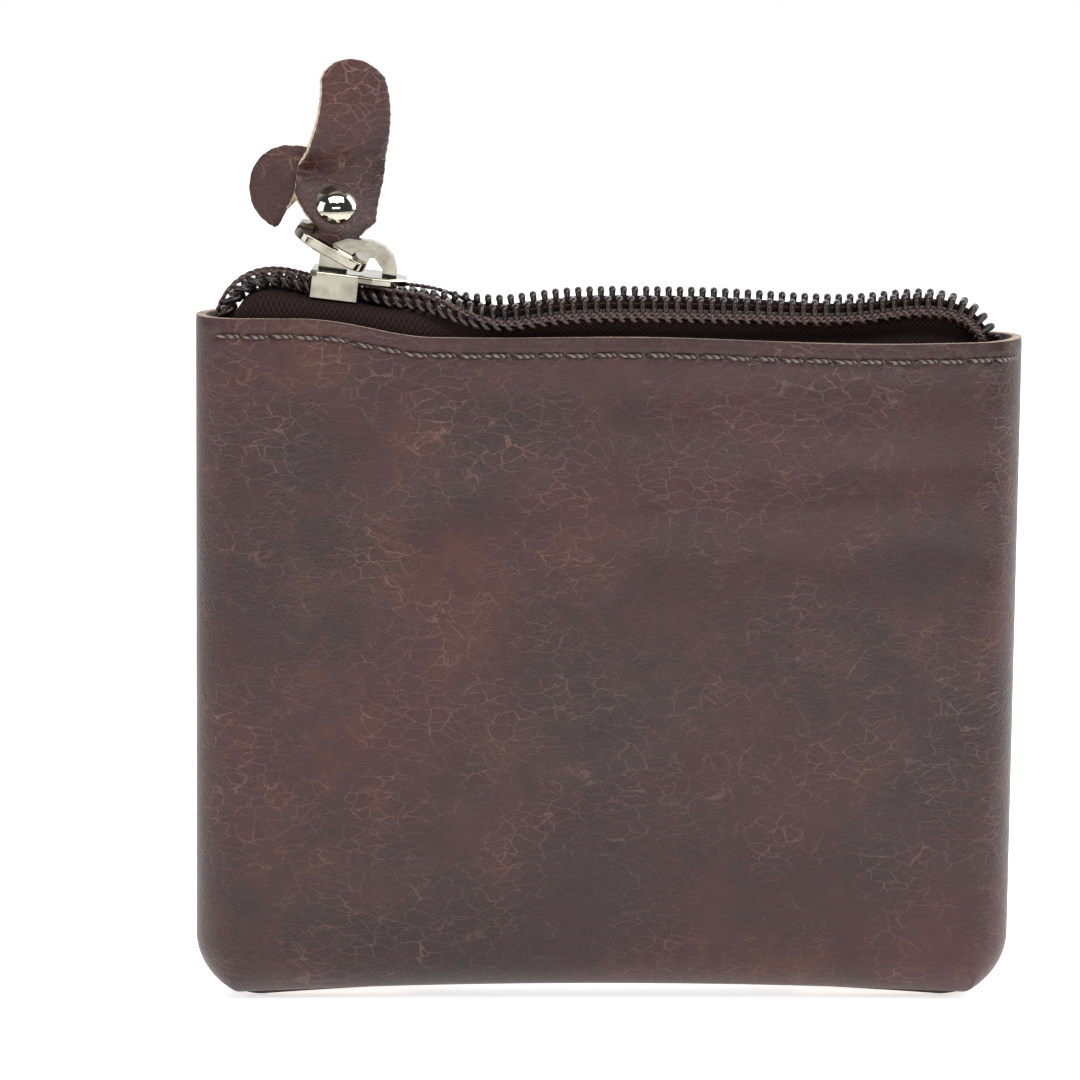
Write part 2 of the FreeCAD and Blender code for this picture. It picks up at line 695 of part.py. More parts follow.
def strap_stations():
    """Centre, width direction (degrees from X in the XZ plane) and width along the strap."""
    rail = rail_centre()
    slope = -size("ring_slope")
    wide = size("strap_width")
    neck = size("strap_neck")
    lift = size("strap_height") / 25.0
    radius = size("ring_band") / 2 + 0.25 + size("strap_thick") / 2
    front = [
        (Vec(2.1, -1.5, 23.9), 0, 0.35 * wide), (Vec(2.2, -1.5, 23.2), 0, 0.62 * wide),
        (Vec(2.6, -1.4, 21.2), 0, 0.84 * wide), (Vec(2.8, -1.2, 17.6), 0, 0.92 * wide),
        (Vec(2.1, -0.5, 13.4), -2, 0.98 * wide), (Vec(1.0, 0.8, 9.5), -9, wide),
        (Vec(0.4, 0.9, 6.9), -20, wide), (Vec(0.1, -0.35, 4.5), -20, 0.84 * wide),
        (Vec(0.0, -1.6, 2.0), -20, 0.5 * wide),
    ]
    back = [
        (Vec(0.0, 0.38, 2.5), -20, 0.6 * wide), (Vec(0.2, 2.26, 6.1), -18, wide),
        (Vec(-1.9, 2.25, 7.6), 12, wide), (Vec(-4.3, 2.2, 8.3), 34, wide),
        (Vec(-6.8, 2.1, 9.5), 52, 0.92 * wide), (Vec(-8.7, 2.0, 10.4), 58, 0.76 * wide),
        (Vec(-9.9, 1.9, 11.0), 58, 0.4 * wide),
    ]
    stations = [(rail + Vec(c.x, c.y, c.z * lift), a, w) for c, a, w in front]
    up = Vec(math.sin(math.radians(-slope)), 0, math.cos(math.radians(slope)))
    for i in range(9):
        turn = math.pi * i / 8
        offset = Vec(0, -radius * math.cos(turn), 0) - up * (radius * math.sin(turn))
        stations.append((rail + offset, slope, neck))
    stations += [(rail + Vec(c.x, c.y, c.z * lift), a, w) for c, a, w in back]
    return stations


def section_at(stations, i):
    """The rectangle of leather across the strap at one station."""
    centre, angle, width = stations[i]
    before = stations[max(0, i - 1)][0]
    after = stations[min(len(stations) - 1, i + 1)][0]
    along = (after - before).normalize()
    across = Vec(math.cos(math.radians(angle)), 0, math.sin(math.radians(angle)))
    face = across.cross(along).normalize()
    return centre, across, face, width


def make_strap():
    stations = strap_stations()
    half = size("strap_thick") / 2
    sections = []
    for i in range(len(stations)):
        centre, across, face, width = section_at(stations, i)
        w = across * (width / 2)
        h = face * half
        sections.append([centre - w - h, centre + w - h, centre + w + h, centre - w + h])
    strap = ruled_solid(sections)
    for shape in (rivet_cap_shape(), rivet_post_shape()):
        shape.Placement = rivet_placement()
        strap = strap.cut(shape)
    reach = math.hypot(size("ring_band"), size("ring_thick")) / 2 + size("clearance")
    bore = Part.makeCylinder(reach, value(RING_LENGTH), Vec(0, 0, -value(RING_LENGTH) / 2))
    rail_along = ring_placement().Rotation.multVec(Vec(1, 0, 0))
    bore.Placement = frame_placement(rail_centre(), Vec(0, 1, 0), rail_along)
    add_feature("pull_strap", strap.cut(bore))


RIVET_STATION = 7


def rivet_placement():
    """Origin on the outer face of the front leg, Z pointing out of the leather."""
    stations = strap_stations()
    centre, across, face, width = section_at(stations, RIVET_STATION)
    out = face if face.y < 0 else -face
    return frame_placement(centre + out * (size("strap_thick") / 2), across, out)


def rivet_cap_shape():
    """A domed cap with a short straight rim, standing on its local XY plane."""
    radius = size("rivet_dia") / 2
    dome = size("rivet_dome")
    lift = size("rivet_rim")
    ball = (radius * radius + dome * dome) / (2 * dome)
    rim = Part.makeCylinder(radius, lift + size("rivet_sink"), Vec(0, 0, -size("rivet_sink")))
    cap = Part.makeSphere(ball, Vec(0, 0, lift + dome - ball))
    cap = cap.common(Part.makeCylinder(radius, dome + 1, Vec(0, 0, lift)))
    return rim.fuse(cap).removeSplitter()


def rivet_post_shape():
    """The post through both legs, and the flat head pressed on behind."""
    start = -size("rivet_sink") - 0.02
    depth = 2 * size("strap_thick") + size("rivet_gap") + start - size("rivet_sink")
    post = Part.makeCylinder(size("rivet_post_dia") / 2, depth, Vec(0, 0, start - depth))
    head_radius = size("rivet_dia") * 0.42
    head = Part.makeCylinder(head_radius, size("rivet_rim") * 2, Vec(0, 0, start - depth - size("rivet_rim") * 2))
    return post.fuse(head).removeSplitter()


def make_rivet():
    """The two halves of the rivet, pressed a little into the leather."""
    add_feature("rivet_cap", rivet_cap_shape(), rivet_placement())
    add_feature("rivet_post", rivet_post_shape(), rivet_placement())


# ---------------------------------------------------------------- build
doc = FreeCAD.newDocument("coin_purse")
parts = []
sheet = make_sheet(doc)
path = chain_path()
make_panel("front_panel", FRONT)
make_panel("back_panel", BACK)
make_topstitch("front_topstitch", FRONT)
make_topstitch("back_topstitch", BACK)
make_seam_thread()
make_row(FRONT, "front", size("coil_pitch") * 0.5)
make_row(BACK, "back", size("coil_pitch"))
make_slider()
make_crown()
make_ring()
make_strap()
make_rivet()
doc.recompute()

for item in doc.Objects:
    if "Invalid" in item.State or "Error" in item.State:
        raise RuntimeError("%s failed: %s" % (item.Label, item.State))
for part in parts:
    if part.Shape.isNull() or not part.Shape.isValid():
        raise RuntimeError("%s has no valid shape" % part.Label)

os.makedirs("parts", exist_ok=True)
for part in parts:
    part.Shape.exportStep("parts/%s.step" % part.Label)
    box = part.Shape.BoundBox
    print("%-18s solids %3d  volume %9.2f  x %.1f..%.1f y %.1f..%.1f z %.1f..%.1f" % (
        part.Label, len(part.Shape.Solids), part.Shape.Volume,
        box.XMin, box.XMax, box.YMin, box.YMax, box.ZMin, box.ZMax))
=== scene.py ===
import bpy
import json
import math
import numpy as np
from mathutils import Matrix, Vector


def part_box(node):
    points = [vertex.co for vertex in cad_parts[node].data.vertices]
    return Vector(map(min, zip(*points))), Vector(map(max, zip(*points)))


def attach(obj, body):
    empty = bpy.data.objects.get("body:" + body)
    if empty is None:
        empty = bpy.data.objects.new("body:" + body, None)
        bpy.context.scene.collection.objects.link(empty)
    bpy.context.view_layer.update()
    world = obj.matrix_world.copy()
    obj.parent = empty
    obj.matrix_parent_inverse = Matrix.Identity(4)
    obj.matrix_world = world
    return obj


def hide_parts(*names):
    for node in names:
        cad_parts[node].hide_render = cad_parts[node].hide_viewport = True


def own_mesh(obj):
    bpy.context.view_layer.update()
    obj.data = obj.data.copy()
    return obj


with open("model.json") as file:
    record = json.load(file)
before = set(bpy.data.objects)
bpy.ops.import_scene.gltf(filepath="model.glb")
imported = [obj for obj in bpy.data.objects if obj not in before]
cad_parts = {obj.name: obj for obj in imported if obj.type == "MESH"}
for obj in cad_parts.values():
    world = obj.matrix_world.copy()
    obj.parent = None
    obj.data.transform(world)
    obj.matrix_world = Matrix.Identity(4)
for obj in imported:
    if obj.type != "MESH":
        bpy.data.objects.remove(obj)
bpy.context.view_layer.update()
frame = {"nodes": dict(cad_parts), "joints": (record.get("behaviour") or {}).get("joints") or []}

# ------------------------------------------------------------ camera and light
# The purse is seen from the front and a little above, near enough to show its grain, in soft
# daylight from a large overhead softbox, four smaller boxes round it and a pale surround.
camera_data = bpy.data.cameras.new("camera")
camera_data.lens = 120
camera_data.sensor_width = 36
camera = bpy.data.objects.new("camera", camera_data)
bpy.context.scene.collection.objects.link(camera)
bpy.context.scene.camera = camera
VIEW_TILT = math.radians(11)
VIEW_DISTANCE = 0.474
LOOK_AT = Vector((-0.0083, -0.006, 0.0640))
away = Vector((0, -math.cos(VIEW_TILT), math.sin(VIEW_TILT)))
camera.location = LOOK_AT + away * VIEW_DISTANCE
camera.rotation_euler = (-away).to_track_quat("-Z", "Y").to_euler()
bpy.context.scene.view_settings.view_transform = "Standard"


def softbox(name, place, aim, size, watts):
    data = bpy.data.lights.new(name, "AREA")
    data.shape = "RECTANGLE"
    data.size, data.size_y = size
    data.energy = watts
    light = bpy.data.objects.new(name, data)
    light.location = place
    light.rotation_euler = (Vector(aim) - Vector(place)).to_track_quat("-Z", "Y").to_euler()
    bpy.context.scene.collection.objects.link(light)


softbox("key_overhead", (0.10, -0.35, 0.62), (0, 0, 0.05), (0.7, 0.3), 3.6)
softbox("front_window", (0.16, -0.90, 0.36), (0.02, 0, 0.07), (0.55, 0.10), 1.5)
softbox("fill_left", (-0.55, -0.35, 0.30), (0, 0, 0.06), (0.3, 0.4), 0.9)
softbox("rim_right", (0.50, 0.10, 0.35), (0.02, 0, 0.06), (0.2, 0.45), 1.6)
softbox("back_wash", (0.0, 0.60, 0.55), (0, 0, 0.05), (0.8, 0.4), 2.0)


def linear(hex_colour):
    """sRGB hex to the linear colour that shaders use."""
    channels = [int(hex_colour[i:i + 2], 16) / 255 for i in (1, 3, 5)]
    curve = [c / 12.92 if c <= 0.04045 else ((c + 0.055) / 1.055) ** 2.4 for c in channels]
    return (*curve, 1.0)


def add(tree, kind, inputs=None, stops=None, **settings):
    """Adds one shader node with its settings and ramp stops, and links or sets its inputs."""
    node = tree.nodes.new(kind)
    for key, item in settings.items():
        setattr(node, key, item)
    for key, item in (inputs or {}).items():
        if isinstance(item, bpy.types.NodeSocket):
            tree.links.new(item, node.inputs[key])
        else:
            node.inputs[key].default_value = item
    if stops:
        while len(node.color_ramp.elements) < len(stops):
            node.color_ramp.elements.new(0.5)
        for element, (place, colour) in zip(node.color_ramp.elements, stops):
            element.position = place
            element.color = linear(colour)
    return node


def new_material(name):
    material = bpy.data.materials.new(name)
    material.use_nodes = True
    tree = material.node_tree
    shader = tree.nodes["Principled BSDF"]
    return material, tree, shader


# A pale surround, brightest behind the purse and dim on the side that the purse faces.
DIM_SIDE = 0.07
world = bpy.data.worlds.new("studio_surround")
bpy.context.scene.world = world
world.use_nodes = True
sky_tree = world.node_tree
sky_way = add(sky_tree, "ShaderNodeTexCoord").outputs["Generated"]
sky_parts = add(sky_tree, "ShaderNodeSeparateXYZ", {"Vector": sky_way})
sky_share = add(sky_tree, "ShaderNodeMapRange",
                {0: sky_parts.outputs["Y"], 1: -0.2, 2: 0.75, 3: DIM_SIDE, 4: 1.0})
sky_tree.links.new(sky_share.outputs[0], sky_tree.nodes["Background"].inputs["Strength"])
sky_tree.nodes["Background"].inputs["Color"].default_value = linear("#ffffff")

# ------------------------------------------------------------ floor
# A sheet of matt white card, far larger than the purse. It glows a little, like a card lit from
# below, so that the ground stays white seen from the front.
FLOOR_REACH = 3
card, _, card_shader = new_material("matt_white_card")
card_shader.inputs["Base Color"].default_value = linear("#ffffff")
card_shader.inputs["Roughness"].default_value = 0.9
card_shader.inputs["Emission Color"].default_value = linear("#ffffff")
card_shader.inputs["Emission Strength"].default_value = 0.62
floor_mesh = bpy.data.meshes.new("floor")
floor_mesh.from_pydata([(x * FLOOR_REACH, y * FLOOR_REACH, 0)
                        for x, y in ((-1, -1), (1, -1), (1, 1), (-1, 1))], [], [(0, 1, 2, 3)])
floor = bpy.data.objects.new("floor", floor_mesh)
bpy.context.scene.collection.objects.link(floor)
floor_mesh.materials.append(card)

# ------------------------------------------------------------ leather walls
# Two walls of 1.3 mm pull-up leather, sewn face to face round the sides and bottom and turned
# right side out, so that the rim is a soft roll. The mouth edge is cut and left raw.
MM = 0.001
wall_low, wall_high = [Vector(corner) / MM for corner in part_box("front_panel")]
HALF_WIDTH = wall_high.x
WIDTH = 2 * HALF_WIDTH
TOP_LEFT = wall_high.z
CORNER_RISE = 3.1
MOUTH = TOP_LEFT - CORNER_RISE
HALF_DEPTH = -wall_low.y
CORNER_RADIUS = 9.0
RIM_RADIUS = 6.0
LEATHER = 1.3
BOTTOM_BOW = 2.0
TOP_NARROWING = 1.6
MOUTH_STEP_START = -0.36 * WIDTH
MOUTH_STEP_RUN = 0.16 * WIDTH
MOUTH_RISE = 0.9
MOUTH_WAVE = 0.25
SEAM_DEPTH = 0.35
MOUTH_TUCK = 0.25
STITCH_DROP = 2.3
STITCH_PITCH = 3.5
STITCH_FROM_LEFT = 4.6
STITCH_FROM_RIGHT = 2.6
COLUMNS = 300
ROWS = 190


def smooth(t):
    t = np.clip(t, 0.0, 1.0)
    return t * t * (3 - 2 * t)


def mouth_at(x):
    """Height of the mouth's edge: high at the closed end, stepping down past the slider."""
    step = smooth((x - MOUTH_STEP_START) / MOUTH_STEP_RUN)
    low = MOUTH + MOUTH_RISE - MOUTH_RISE * smooth((x + 24) / 60)
    wave = MOUTH_WAVE * np.sin(x / 9.0 + 0.6)
    return TOP_LEFT + (low - TOP_LEFT) * step + wave * step


def side_inset(z):
    """How far the rounded bottom corners pull the sides in at a height."""
    up = np.clip(CORNER_RADIUS - z, 0, CORNER_RADIUS)
    return CORNER_RADIUS - np.sqrt(CORNER_RADIUS ** 2 - up ** 2)


def bump_at(x, z, centre_x, centre_z, reach_x, reach_z, turn=0.0):
    """A soft oval hill, turned by an angle."""
    c, s = math.cos(turn), math.sin(turn)
    dx = (x - centre_x) * c + (z - centre_z) * s
    dz = -(x - centre_x) * s + (z - centre_z) * c
    return np.exp(-(dx / reach_x) ** 2 - (dz / reach_z) ** 2)


# Slack dents and swells of the hide: height, place across and up, reach each way, turn.
SLACK = [
    (-0.50, 24, 84, 26, 2.6, 0.03), (0.30, 26, 79, 26, 2.4, 0.02), (-0.50, 33, 73, 20, 2.4, 0.05),
    (0.25, 28, 68.5, 22, 2.4, 0.04), (-0.40, 20, 62, 22, 2.8, -0.04), (-0.42, 45, 63, 9, 2.4, -0.2),
    (-0.36, -20, 68, 16, 4, 0.2), (-0.36, -34, 40, 12, 7, 0.5), (0.30, -8, 45, 24, 7, 0.3),
    (-0.38, 22, 24, 18, 6, -0.2), (-0.30, -22, 15, 16, 5, 0.1), (-0.30, 5, 33, 20, 3, 0.4),
]


def depth_at(x, z, side):
    """Distance of a wall's outer face from the middle plane, with its slack dents."""
    left = x + HALF_WIDTH - TOP_NARROWING * z / TOP_LEFT - side_inset(z)
    right = HALF_WIDTH - x - side_inset(z)
    low = z - BOTTOM_BOW * (1 - (x / HALF_WIDTH) ** 2) * 0.8
    near = np.minimum(np.minimum(left, right), np.maximum(low, 0))
    near = np.clip(near / RIM_RADIUS, 0, 1)
    roll = np.sqrt(np.clip(1 - (1 - near) ** 2, 0, 1))
    full = 0.86 + 0.14 * np.cos(x / HALF_WIDTH * 1.45) * np.cos((z - 0.6 * MOUTH) / MOUTH * 1.9)
    dents = sum(height * bump_at(x, z, *place) for height, *place in SLACK)
    ripple = 0.07 * np.sin(x * 0.37 + 0.21 * z) * np.sin(z * 0.29 - 0.13 * x + 1.0 * side)
    return SEAM_DEPTH + (HALF_DEPTH - SEAM_DEPTH) * roll * full + (dents + ripple) * near


def stitch_places():
    return np.arange(-HALF_WIDTH + STITCH_FROM_LEFT, HALF_WIDTH - STITCH_FROM_RIGHT, STITCH_PITCH)


def dimple_at(x, z):
    """The channel that the topstitching draws in, deepest where the needle went through."""
    line = mouth_at(x) - STITCH_DROP
    channel = np.exp(-((z - line) / 0.55) ** 2)
    phase = (x - stitch_places()[0]) / STITCH_PITCH
    hole = np.exp(-((phase - np.round(phase)) * STITCH_PITCH / 0.5) ** 2)
    ends = smooth((x + HALF_WIDTH - 3.5) / 1.5) * smooth((HALF_WIDTH - 2.5 - x) / 1.5)
    return channel * (0.16 + 0.34 * hole) * ends


def make_object(name, points, faces, materials, body="purse"):
    mesh = bpy.data.meshes.new(name)
    mesh.from_pydata([tuple(p) for p in points], [], faces)
    mesh.update()
    mesh.shade_smooth()
    for material in materials:
        mesh.materials.append(material)
    piece = bpy.data.objects.new(name, mesh)
    bpy.context.scene.collection.objects.link(piece)
    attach(piece, body)
    return piece


def flatten_with_slider(piece):
    """Gives the piece its own copy of its mesh."""
    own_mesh(piece)


def grid_faces(rows, columns, flip=False, closed_columns=False):
    faces = []
    last = columns if closed_columns else columns - 1
    for i in range(rows - 1):
        for j in range(last):
            k = (j + 1) % columns
            face = (i * columns + j, i * columns + k, (i + 1) * columns + k, (i + 1) * columns + j)
            faces.append(face[::-1] if flip else face)
    return faces


def pull_up_leather(name, tones, worn, groove, lean=38.0):
    """Pull-up leather: waxed aniline hide, dark where it is whole and paler where it bends.

    Pebbled grain under a broken net of fine creases, with rubbed brown patches. The lean only
    gives each hide its own net."""
    material, tree, shader = new_material(name)
    place = add(tree, "ShaderNodeTexCoord").outputs["Object"]
    warp = add(tree, "ShaderNodeTexNoise", {"Vector": place, "Scale": 160.0, "Detail": 4.0})
    bent = add(tree, "ShaderNodeVectorMath", {0: warp.outputs["Color"], "Scale": 0.005}, operation="SCALE")
    moved = add(tree, "ShaderNodeVectorMath", {0: place, 1: bent.outputs[0]}, operation="ADD")
    turned = add(tree, "ShaderNodeMapping", {"Vector": moved.outputs[0], "Scale": (1.0, 1.0, 2.1),
                                             "Rotation": (0, math.radians(lean), 0)})
    # Creases about 3 mm long and 1.4 mm apart, with a finer net of 1 mm between them, kept only in
    # broken runs where the hide has been folded.
    creases = add(tree, "ShaderNodeTexVoronoi", {"Vector": turned.outputs[0], "Scale": 330.0},
                  feature="DISTANCE_TO_EDGE")
    fine = add(tree, "ShaderNodeTexVoronoi", {"Vector": turned.outputs[0], "Scale": 950.0},
               feature="DISTANCE_TO_EDGE")
    crease_line = add(tree, "ShaderNodeValToRGB", {"Fac": creases.outputs["Distance"]},
                      stops=[(0.0, "#ffffff"), (0.045, "#000000")]).outputs[0]
    fine_line = add(tree, "ShaderNodeValToRGB", {"Fac": fine.outputs["Distance"]},
                    stops=[(0.0, "#c0c0c0"), (0.08, "#000000")]).outputs[0]
    folded = add(tree, "ShaderNodeTexNoise", {"Vector": moved.outputs[0], "Scale": 75.0, "Detail": 6.0,
                                              "Roughness": 0.7})
    crease_on = add(tree, "ShaderNodeValToRGB", {"Fac": folded.outputs["Fac"]},
                    stops=[(0.42, "#141414"), (0.68, "#a8a8a8")]).outputs[0]
    net = add(tree, "ShaderNodeMix", {0: 0.6, 6: crease_line, 7: fine_line}, data_type="RGBA",
              blend_type="ADD")
    shown = add(tree, "ShaderNodeMix", {0: 1.0, 6: net.outputs[2], 7: crease_on}, data_type="RGBA",
                blend_type="MULTIPLY")
    # A pebble every 0.6 mm, in finer pebbles of 0.25 mm.
    pebble = add(tree, "ShaderNodeTexVoronoi", {"Vector": moved.outputs[0], "Scale": 1650.0},
                 feature="DISTANCE_TO_EDGE")
    pore = add(tree, "ShaderNodeTexNoise", {"Vector": place, "Scale": 3800.0, "Detail": 2.0})
    # Wax has moved in clouds of about 30 mm, and handling has rubbed patches of about 18 mm.
    cloud = add(tree, "ShaderNodeTexNoise", {"Vector": place, "Scale": 34.0, "Detail": 7.0,
                                             "Roughness": 0.6})
    rub = add(tree, "ShaderNodeTexNoise", {"Vector": place, "Scale": 55.0, "Detail": 10.0,
                                           "Roughness": 0.72})
    base = add(tree, "ShaderNodeValToRGB", {"Fac": cloud.outputs["Fac"]}, stops=tones).outputs[0]
    worn_share = add(tree, "ShaderNodeValToRGB", {"Fac": rub.outputs["Fac"]},
                     stops=[(0.50, "#000000"), (0.70, "#8c8c8c")]).outputs[0]
    mixed = add(tree, "ShaderNodeMix", {0: worn_share, 6: base, 7: linear(worn)}, data_type="RGBA")
    speck = add(tree, "ShaderNodeValToRGB", {"Fac": pore.outputs["Fac"]},
                stops=[(0.58, "#000000"), (0.76, "#5a5a5a")]).outputs[0]
    flecked = add(tree, "ShaderNodeMix", {0: speck, 6: mixed.outputs[2], 7: linear(groove)},
                  data_type="RGBA")
    pale = add(tree, "ShaderNodeMix", {0: shown.outputs[2], 6: flecked.outputs[2], 7: linear(groove)},
               data_type="RGBA")
    tree.links.new(pale.outputs[2], shader.inputs["Base Color"])
    gloss = add(tree, "ShaderNodeMapRange", {0: cloud.outputs["Fac"], 1: 0.3, 2: 0.7, 3: 0.30, 4: 0.46})
    tree.links.new(gloss.outputs[0], shader.inputs["Roughness"])
    shader.inputs["IOR"].default_value = 1.48
    fold = add(tree, "ShaderNodeBump", {"Height": shown.outputs[2], "Strength": 0.6, "Distance": 0.0003},
               invert=True)
    swell = add(tree, "ShaderNodeBump", {"Height": rub.outputs["Fac"], "Strength": 0.35,
                                         "Distance": 0.0012, "Normal": fold.outputs[0]})
    cells = add(tree, "ShaderNodeBump", {"Height": pebble.outputs["Distance"], "Strength": 0.30,
                                         "Distance": 0.0004, "Normal": swell.outputs[0]})
    grain = add(tree, "ShaderNodeBump", {"Height": pore.outputs["Fac"], "Strength": 0.18,
                                         "Distance": 0.00015, "Normal": cells.outputs[0]})
    tree.links.new(grain.outputs[0], shader.inputs["Normal"])
    return material


def raw_leather_edge(name, core, fibre):
    """The cut edge and flesh side of the hide: pale, dry, felted fibre."""
    material, tree, shader = new_material(name)
    place = add(tree, "ShaderNodeTexCoord").outputs["Object"]
    fleece = add(tree, "ShaderNodeTexNoise", {"Vector": place, "Scale": 1600.0, "Detail": 6.0,
                                              "Roughness": 0.75})
    stain = add(tree, "ShaderNodeTexNoise", {"Vector": place, "Scale": 320.0, "Detail": 4.0})
    light = add(tree, "ShaderNodeValToRGB", {"Fac": fleece.outputs["Fac"]},
                stops=[(0.35, core), (0.62, fibre)]).outputs[0]
    stained = add(tree, "ShaderNodeValToRGB", {"Fac": stain.outputs["Fac"]},
                  stops=[(0.5, "#000000"), (0.7, "#909090")]).outputs[0]
    dark = add(tree, "ShaderNodeMix", {0: stained, 6: light, 7: linear("#5d4334")}, data_type="RGBA")
    tree.links.new(dark.outputs[2], shader.inputs["Base Color"])
    shader.inputs["Roughness"].default_value = 0.92
    shader.inputs["Sheen Weight"].default_value = 0.5
    felt = add(tree, "ShaderNodeBump", {"Height": fleece.outputs["Fac"], "Strength": 0.8,
                                        "Distance": 0.0004})
    tree.links.new(felt.outputs[0], shader.inputs["Normal"])
    return material


wall_leather = pull_up_leather(
    "burgundy_pull_up_leather",
    [(0.30, "#180708"), (0.52, "#2c0f0f"), (0.72, "#3b1615")], "#633720", "#94695d")
wall_edge = raw_leather_edge("raw_cut_leather_edge", "#8a6a52", "#c9ab8c")
lining_side = raw_leather_edge("napped_flesh_side", "#3a2620", "#5a4034")


def make_wall(name, side, node):
    # Rows and columns crowd toward the seams and the mouth, where the hide turns fastest.
    x_share = np.linspace(-1, 1, COLUMNS)
    x_share = np.sign(x_share) * (1 - (1 - np.abs(x_share)) ** 1.25)
    level = np.linspace(0, 1, ROWS)
    lower = 2 * level ** 1.7 * 0.5 ** 0.3 * 0.812
    upper = 1 - 2 ** 0.3 * (1 - level) ** 1.3 * 0.812
    level = np.where(level < 0.5, lower, upper)
    level = (level - level[0]) / (level[-1] - level[0])
    level = np.maximum.accumulate(level)
    points = []
    for v in level:
        rough_z = v * MOUTH
        inset = side_inset(np.array(rough_z))
        left = -HALF_WIDTH + TOP_NARROWING * v + inset
        right = HALF_WIDTH - inset
        x = (left + right) / 2 + x_share * (right - left) / 2
        bottom = BOTTOM_BOW * np.clip(1 - (x / (HALF_WIDTH - CORNER_RADIUS)) ** 2, 0, 1) * 0.9
        z = bottom + v * (mouth_at(x) - bottom)
        depth = depth_at(x, z, side) - dimple_at(x, z)
        tuck = MOUTH_TUCK * smooth((z - mouth_at(x) + 1.2) / 1.2)
        for px, pz, py in zip(x, z, depth - tuck):
            points.append(Vector((px, side * py, pz)) * MM)
    wall = make_object(name, points, grid_faces(ROWS, COLUMNS, flip=side > 0),
                       [wall_leather, lining_side, wall_edge])
    shell = wall.modifiers.new("hide_thickness", "SOLIDIFY")
    shell.thickness = LEATHER * MM
    shell.offset = -1
    shell.material_offset = 1
    shell.material_offset_rim = 2
    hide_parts(node)
    # The flat size is an estimate: the face, 110 by 93 mm, with its fullness and rims.
    flatten_with_slider(wall)


make_wall("front_wall", -1, "front_panel")
make_wall("back_wall", 1, "back_panel")


# ------------------------------------------------------------ topstitching
# Bonded polyester thread, 3.5 mm a stitch, lying in the channel below the mouth. Each stitch
# is pulled down into its needle holes, through the wall and the zip tape behind it.
def twisted_thread(name, dark, light, strand_mm):
    """Twisted thread: two plies, slightly waxy, dark, with a painted highlight along the crown of each
    ply.

    The plies make one turn in about four strand widths."""
    material, tree, shader = new_material(name)
    place = add(tree, "ShaderNodeTexCoord").outputs["Object"]
    plies = add(tree, "ShaderNodeTexWave", {"Vector": place, "Scale": 1000.0 / (strand_mm * 6.28),
                                            "Distortion": 2.0, "Detail": 2.0}, bands_direction="DIAGONAL")
    # The second colour is a painted highlight: it lies on the ply crowns as a glint would. The thread's
    # own colour is the first, dark one.
    colour = add(tree, "ShaderNodeValToRGB", {"Fac": plies.outputs["Fac"]},
                 stops=[(0.25, dark), (0.85, light)]).outputs[0]
    tree.links.new(colour, shader.inputs["Base Color"])
    shader.inputs["Roughness"].default_value = 0.55
    shader.inputs["IOR"].default_value = 1.5
    ridge = add(tree, "ShaderNodeBump", {"Height": plies.outputs["Fac"], "Strength": 0.5,
                                         "Distance": 0.0001})
    tree.links.new(ridge.outputs[0], shader.inputs["Normal"])
    return material


# The paler colour of each thread is its painted highlight on the ply crowns.
stitch_thread = twisted_thread("bonded_polyester_thread", "#150c0b", "#77655d", 0.25)
STITCH_RADIUS = 0.27
STITCH_SINK = 0.55
STITCH_PROUD = 0.16
AROUND = 8


def tube_points(line, radii, side_axis, around=AROUND):
    """Rings of points round a line; side_axis is never parallel to the line."""
    line = np.asarray(line)
    tangent = np.gradient(line, axis=0)
    tangent /= np.linalg.norm(tangent, axis=1)[:, None]
    first = np.cross(tangent, side_axis)
    first /= np.linalg.norm(first, axis=1)[:, None]
    second = np.cross(tangent, first)
    turn = np.arange(around) / around * 2 * np.pi
    circle = (np.cos(turn)[None, :, None] * first[:, None, :]
              + np.sin(turn)[None, :, None] * second[:, None, :])
    return (line[:, None, :] + circle * np.asarray(radii)[:, None, None]).reshape(-1, 3)


def tube_faces(rings, around=AROUND, start=0):
    faces = [tuple(start + k for k in face) for face in grid_faces(rings, around, closed_columns=True)]
    faces.append(tuple(start + k for k in range(around))[::-1])
    faces.append(tuple(start + (rings - 1) * around + k for k in range(around)))
    return faces


def make_topstitch(name, side, node):
    points, faces = [], []
    steps = np.linspace(-1, 1, 15)
    for hole in stitch_places():
        x = hole + STITCH_PITCH / 2 + steps * (STITCH_PITCH / 2 - 0.12)
        z = mouth_at(x) - STITCH_DROP + 0.05 * np.sin(hole * 2.7)
        sink = STITCH_SINK * np.abs(steps) ** 5
        y = depth_at(x, z, side) - dimple_at(x, z) * 0.55 + STITCH_PROUD - sink
        radii = STITCH_RADIUS * (1 - 0.35 * np.abs(steps) ** 4)
        line = np.stack([x, side * y, z], axis=1)
        faces += tube_faces(len(steps), start=len(points))
        points += [tuple(p * MM) for p in tube_points(line, radii, np.array((0, 0, 1.0)))]
    stitches = make_object(name, points, faces, [stitch_thread])
    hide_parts(node)
    flatten_with_slider(stitches)


make_topstitch("front_stitches", -1, "front_topstitch")
make_topstitch("back_stitches", 1, "back_topstitch")

# The thread of the side and bottom seams is inside the turned purse, round both allowances.
frame["nodes"]["seam_thread"].data.materials.clear()
frame["nodes"]["seam_thread"].data.materials.append(stitch_thread)

